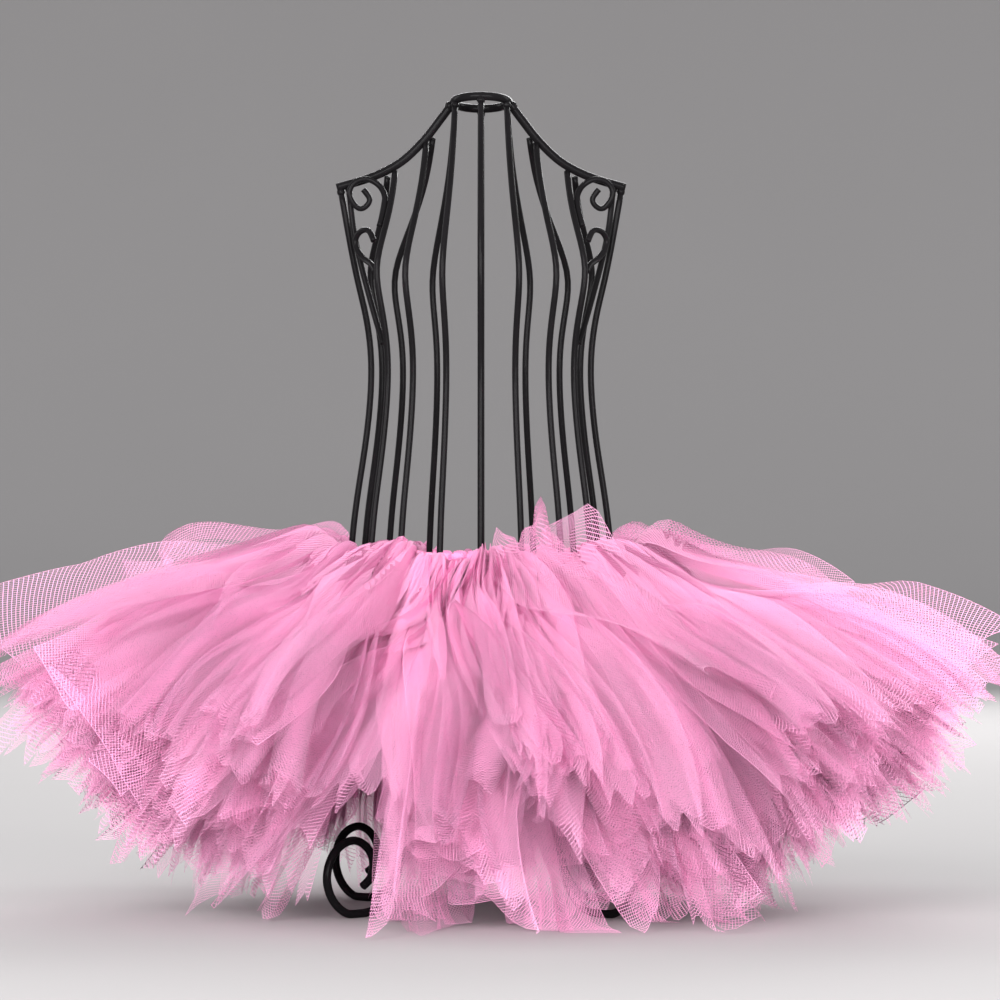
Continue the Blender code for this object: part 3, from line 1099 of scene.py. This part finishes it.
    def build(self, waist: Waistband, materials: list[bpy.types.Material]) -> bpy.types.Object:
        """Makes the bundle's knots and tails as one piece, and dresses it.

        Args:
            waist: the elastic.
            materials: the open and the bunched net.

        Returns:
            The piece.
        """
        rng = np.random.default_rng(BUNDLE_SEED + self.index)
        cell = (1 / self.tails_across, (1 - self.knot_share) / self.tails_along)
        patches = []
        for number, step in enumerate(self.tier.steps):
            row, column = divmod(number, self.tails_across)
            tail = self._tail(waist, number, step, rng)
            patches.append(tail.patch(waist, (column * cell[0], row * cell[1]), cell))
        for knot in range(self.knot_count):
            seed = KNOT_SEED + self.knot_count * self.index + knot
            loop = Knot(self._knot_turn(waist, knot), self.tier.value[0], seed)
            corner = (knot / self.knot_count, 1 - self.knot_share * 0.95)
            size = (0.96 / self.knot_count, self.knot_share * 0.9)
            patches.append(loop.patch(waist, corner, size))
        piece = mesh_of(self.name, patches, materials)
        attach(piece, BODY)
        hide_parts(self.node)
        return piece


@dataclass
class Skirt:
    """All the strips, knotted side by side round the elastic."""

    waist: Waistband

    def build(self) -> list[bpy.types.Object]:
        """Makes every bundle of strips.

        Returns:
            The pieces.
        """
        first = Bundle(0)
        tail = (first.strip_width, first.strip_length / 2)
        materials = [Net(hold, first.layout, tail).material() for hold in Hold]
        pieces = [Bundle(i).build(self.waist, materials) for i in range(self.waist.knots)]
        faces = sum(len(p.data.polygons) for p in pieces)
        LOG.info("skirt: %d pieces, %d quads", len(pieces), faces)
        return pieces


# The wire form


@dataclass
class WireForm:
    """The dress form of welded wire."""

    slot: str = "wire_enamel"
    rib_radius: float = 0.0015
    frame_radius: float = 0.0020
    scroll_radius: float = 0.0014
    levels: int = 2
    sides: int = 8
    weld_reach: float = 0.0012
    bead_size: float = 1.3
    bead_lumps: float = 0.16

    def _radius(self, node: str) -> float:
        """The wire's radius, by the node that it makes."""
        if node.startswith("rib"):
            return self.rib_radius
        return self.scroll_radius if node.startswith(("scroll", "armhole")) else self.frame_radius

    def _shape(self, source: bpy.types.Object) -> bmesh.types.BMesh:
        """Reads a wire's node, with its flat sides whole again.

        Args:
            source: the node's object.

        Returns:
            The wire's faceted shape.
        """
        shape = bmesh.new()
        shape.from_mesh(source.data)
        bmesh.ops.remove_doubles(shape, verts=shape.verts, dist=SEAM_DISTANCE)
        bmesh.ops.join_triangles(
            shape,
            faces=shape.faces,
            angle_face_threshold=math.radians(20),
            angle_shape_threshold=math.radians(60),
        )
        shape.normal_update()
        return shape

    def _ends(self, shape: bmesh.types.BMesh, radius: float) -> list[Vector]:
        """Creases a wire's cut ends, so that they stay full size.

        Args:
            shape: the wire.
            radius: its radius.

        Returns:
            The middles of the ends.
        """
        crease = shape.edges.layers.float.new("crease_edge")
        rim = [edge for edge in shape.edges if edge.calc_face_angle(0.0) > math.radians(70)]
        for edge in rim:
            edge[crease] = 1.0
        left = {vertex for edge in rim for vertex in edge.verts}
        middles = []
        while left:
            start = next(iter(left)).co
            ring = {vertex for vertex in left if (vertex.co - start).length < 3 * radius}
            middles.append(sum((vertex.co for vertex in ring), Vector()) / len(ring))
            left -= ring
        return sorted(middles, key=lambda middle: tuple(middle))

    def _wire(self, node: str, shape: bmesh.types.BMesh, material: bpy.types.Material) -> None:
        """Makes a round copy of a faceted wire.

        Args:
            node: the CAD node's name.
            shape: the faceted wire, which is used up.
            material: the enamel.
        """
        shrink = (2 + math.cos(math.tau / self.sides)) / 3
        swell = self._radius(node) * (1 / shrink - 1)
        for vertex in shape.verts:
            vertex.co += vertex.normal * swell
        mesh = bpy.data.meshes.new(f"{node}_wire")
        shape.to_mesh(mesh)
        shape.free()
        mesh.materials.append(material)
        mesh.shade_smooth()
        piece = placed(f"{node}_wire", mesh)
        smooth = piece.modifiers.new("round", "SUBSURF")
        smooth.levels = smooth.render_levels = self.levels
        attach(piece, BODY)
        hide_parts(node)

    def _beads(self, welds: list[tuple[Vector, float]], material: bpy.types.Material) -> None:
        """Makes the lumps of weld where a wire ends on another.

        Args:
            welds: the middle and the wire's radius of each.
            material: the enamel.
        """
        lumps = bmesh.new()
        for middle, radius in welds:
            bead = bmesh.ops.create_icosphere(
                lumps, subdivisions=3, radius=radius * self.bead_size,
                matrix=Matrix.Translation(middle),
            )
            for vertex in bead["verts"]:
                lump = noise.noise(vertex.co * 600) * self.bead_lumps
                vertex.co += (vertex.co - middle) * lump
        mesh = bpy.data.meshes.new("weld_beads")
        lumps.to_mesh(mesh)
        lumps.free()
        mesh.materials.append(material)
        mesh.shade_smooth()
        piece = placed("weld_beads", mesh)
        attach(piece, BODY)

    def build(self, nodes: dict[str, bpy.types.Object], material: bpy.types.Material) -> None:
        """Makes every wire of the form, and the welds between them.

        Args:
            nodes: the frame's nodes.
            material: the enamel.
        """
        names = [n for n in sorted(nodes) if not n.startswith(("strip", "waist"))]
        shapes = {name: self._shape(nodes[name]) for name in names}
        surfaces = {name: BVHTree.FromBMesh(shape) for name, shape in shapes.items()}
        welds = []
        for name, shape in shapes.items():
            radius = self._radius(name)
            for middle in self._ends(shape, radius):
                near = (surfaces[n].find_nearest(middle)[3] for n in names if n != name)
                if min(near) < self.weld_reach:
                    welds.append((middle, radius))
            self._wire(name, shape, material)
        self._beads(welds, material)
        LOG.info("wire form: %d wires, %d welds", len(names), len(welds))


# The studio


@dataclass
class SoftBox:
    """One large soft lamp."""

    name: str
    place: tuple[float, float, float]
    size: tuple[float, float]
    power: float

    def build(self, aim: Vector) -> None:
        """Hangs the lamp.

        Args:
            aim: the point that it is turned to.
        """
        lamp = bpy.data.lights.new(self.name, "AREA")
        lamp.shape = "RECTANGLE"
        lamp.size, lamp.size_y = self.size
        lamp.energy = self.power
        holder = placed(self.name, lamp)
        holder.location = self.place
        holder.visible_camera = False
        holder.rotation_euler = (aim - Vector(self.place)).to_track_quat("-Z", "Y").to_euler()


@dataclass
class Studio:
    """A pale dish of paper, soft lamps and the camera."""

    eye: tuple[float, float, float] = (0.0089, -2.4, 0.1922)
    lens: float = 183.9
    flat_radius: float = 5.0
    rim_radius: float = 1.5
    rim_steps: int = 24
    sectors: int = 96
    ambient: Colour = (0.50, 0.50, 0.51)
    ambient_strength: float = 1.6
    bounces: int = 4
    open_layers: int = 8

    def _dish(self) -> None:
        """Lays the paper: flat and round, and curved up at the rim on all sides."""
        climb = np.linspace(0.0, math.pi / 2, self.rim_steps + 1)
        far = np.concatenate([[0.0], self.flat_radius + self.rim_radius * np.sin(climb)])
        high = np.concatenate([[0.0], self.rim_radius * (1 - np.cos(climb))])
        turn = np.linspace(0.0, math.tau, self.sectors + 1)
        across = [far[:, None] * np.sin(turn), far[:, None] * np.cos(turn)]
        points = np.stack([*across, np.broadcast_to(high[:, None], across[0].shape)], -1)
        paper = mesh_of("paper", [Patch(points, points[..., :2])], [StudioPaper().material()])

    def _camera(self) -> None:
        """Sets the camera level, straight in front."""
        data = bpy.data.cameras.new("camera")
        data.lens = self.lens
        data.sensor_width = 36.0
        data.clip_end = 20.0
        camera = placed("camera", data)
        camera.location = self.eye
        camera.rotation_euler = (math.pi / 2, 0.0, 0.0)
        bpy.context.scene.camera = camera

    def build(self) -> None:
        """Makes the paper, the lamps, the camera and the picture's settings."""
        self._dish()
        self._camera()
        aim = Vector((0.0, 0.0, 0.17))
        boxes = (
            SoftBox("key", (-0.9, -2.3, 0.9), (1.5, 1.3), 109.0),
            SoftBox("fill", (0.9, -2.3, 0.45), (1.5, 1.3), 94.0),
            SoftBox("left_strip", (-1.8, 0.6, 0.8), (0.6, 1.5), 18.0),
            SoftBox("right_strip", (1.8, 0.6, 0.8), (0.6, 1.5), 18.0),
            SoftBox("back", (0.4, 2.3, 1.2), (1.5, 1.3), 44.0),
        )
        for box in boxes:
            box.build(aim)
        world = bpy.data.worlds.new("studio")
        world.use_nodes = True
        background = world.node_tree.nodes["Background"]
        background.inputs["Color"].default_value = (*self.ambient, 1.0)
        background.inputs["Strength"].default_value = self.ambient_strength
        scene = bpy.context.scene
        scene.world = world
        scene.view_settings.view_transform = "Standard"
        scene.cycles.max_bounces = self.bounces
        scene.cycles.diffuse_bounces = self.bounces
        scene.cycles.transmission_bounces = self.bounces
        scene.cycles.transparent_max_bounces = self.open_layers
        LOG.info("studio: %d lamps", len(boxes))


def main() -> None:
    """Builds the tutu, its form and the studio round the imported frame."""
    logging.basicConfig(level=logging.INFO, format="%(name)s: %(message)s")
    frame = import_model()
    waist = Waistband()
    waist.build(KnitElastic().material())
    Skirt(waist).build()
    WireForm().build(frame["nodes"], Enamel().material())
    Studio().build()


if __name__ == "__main__":
    main()
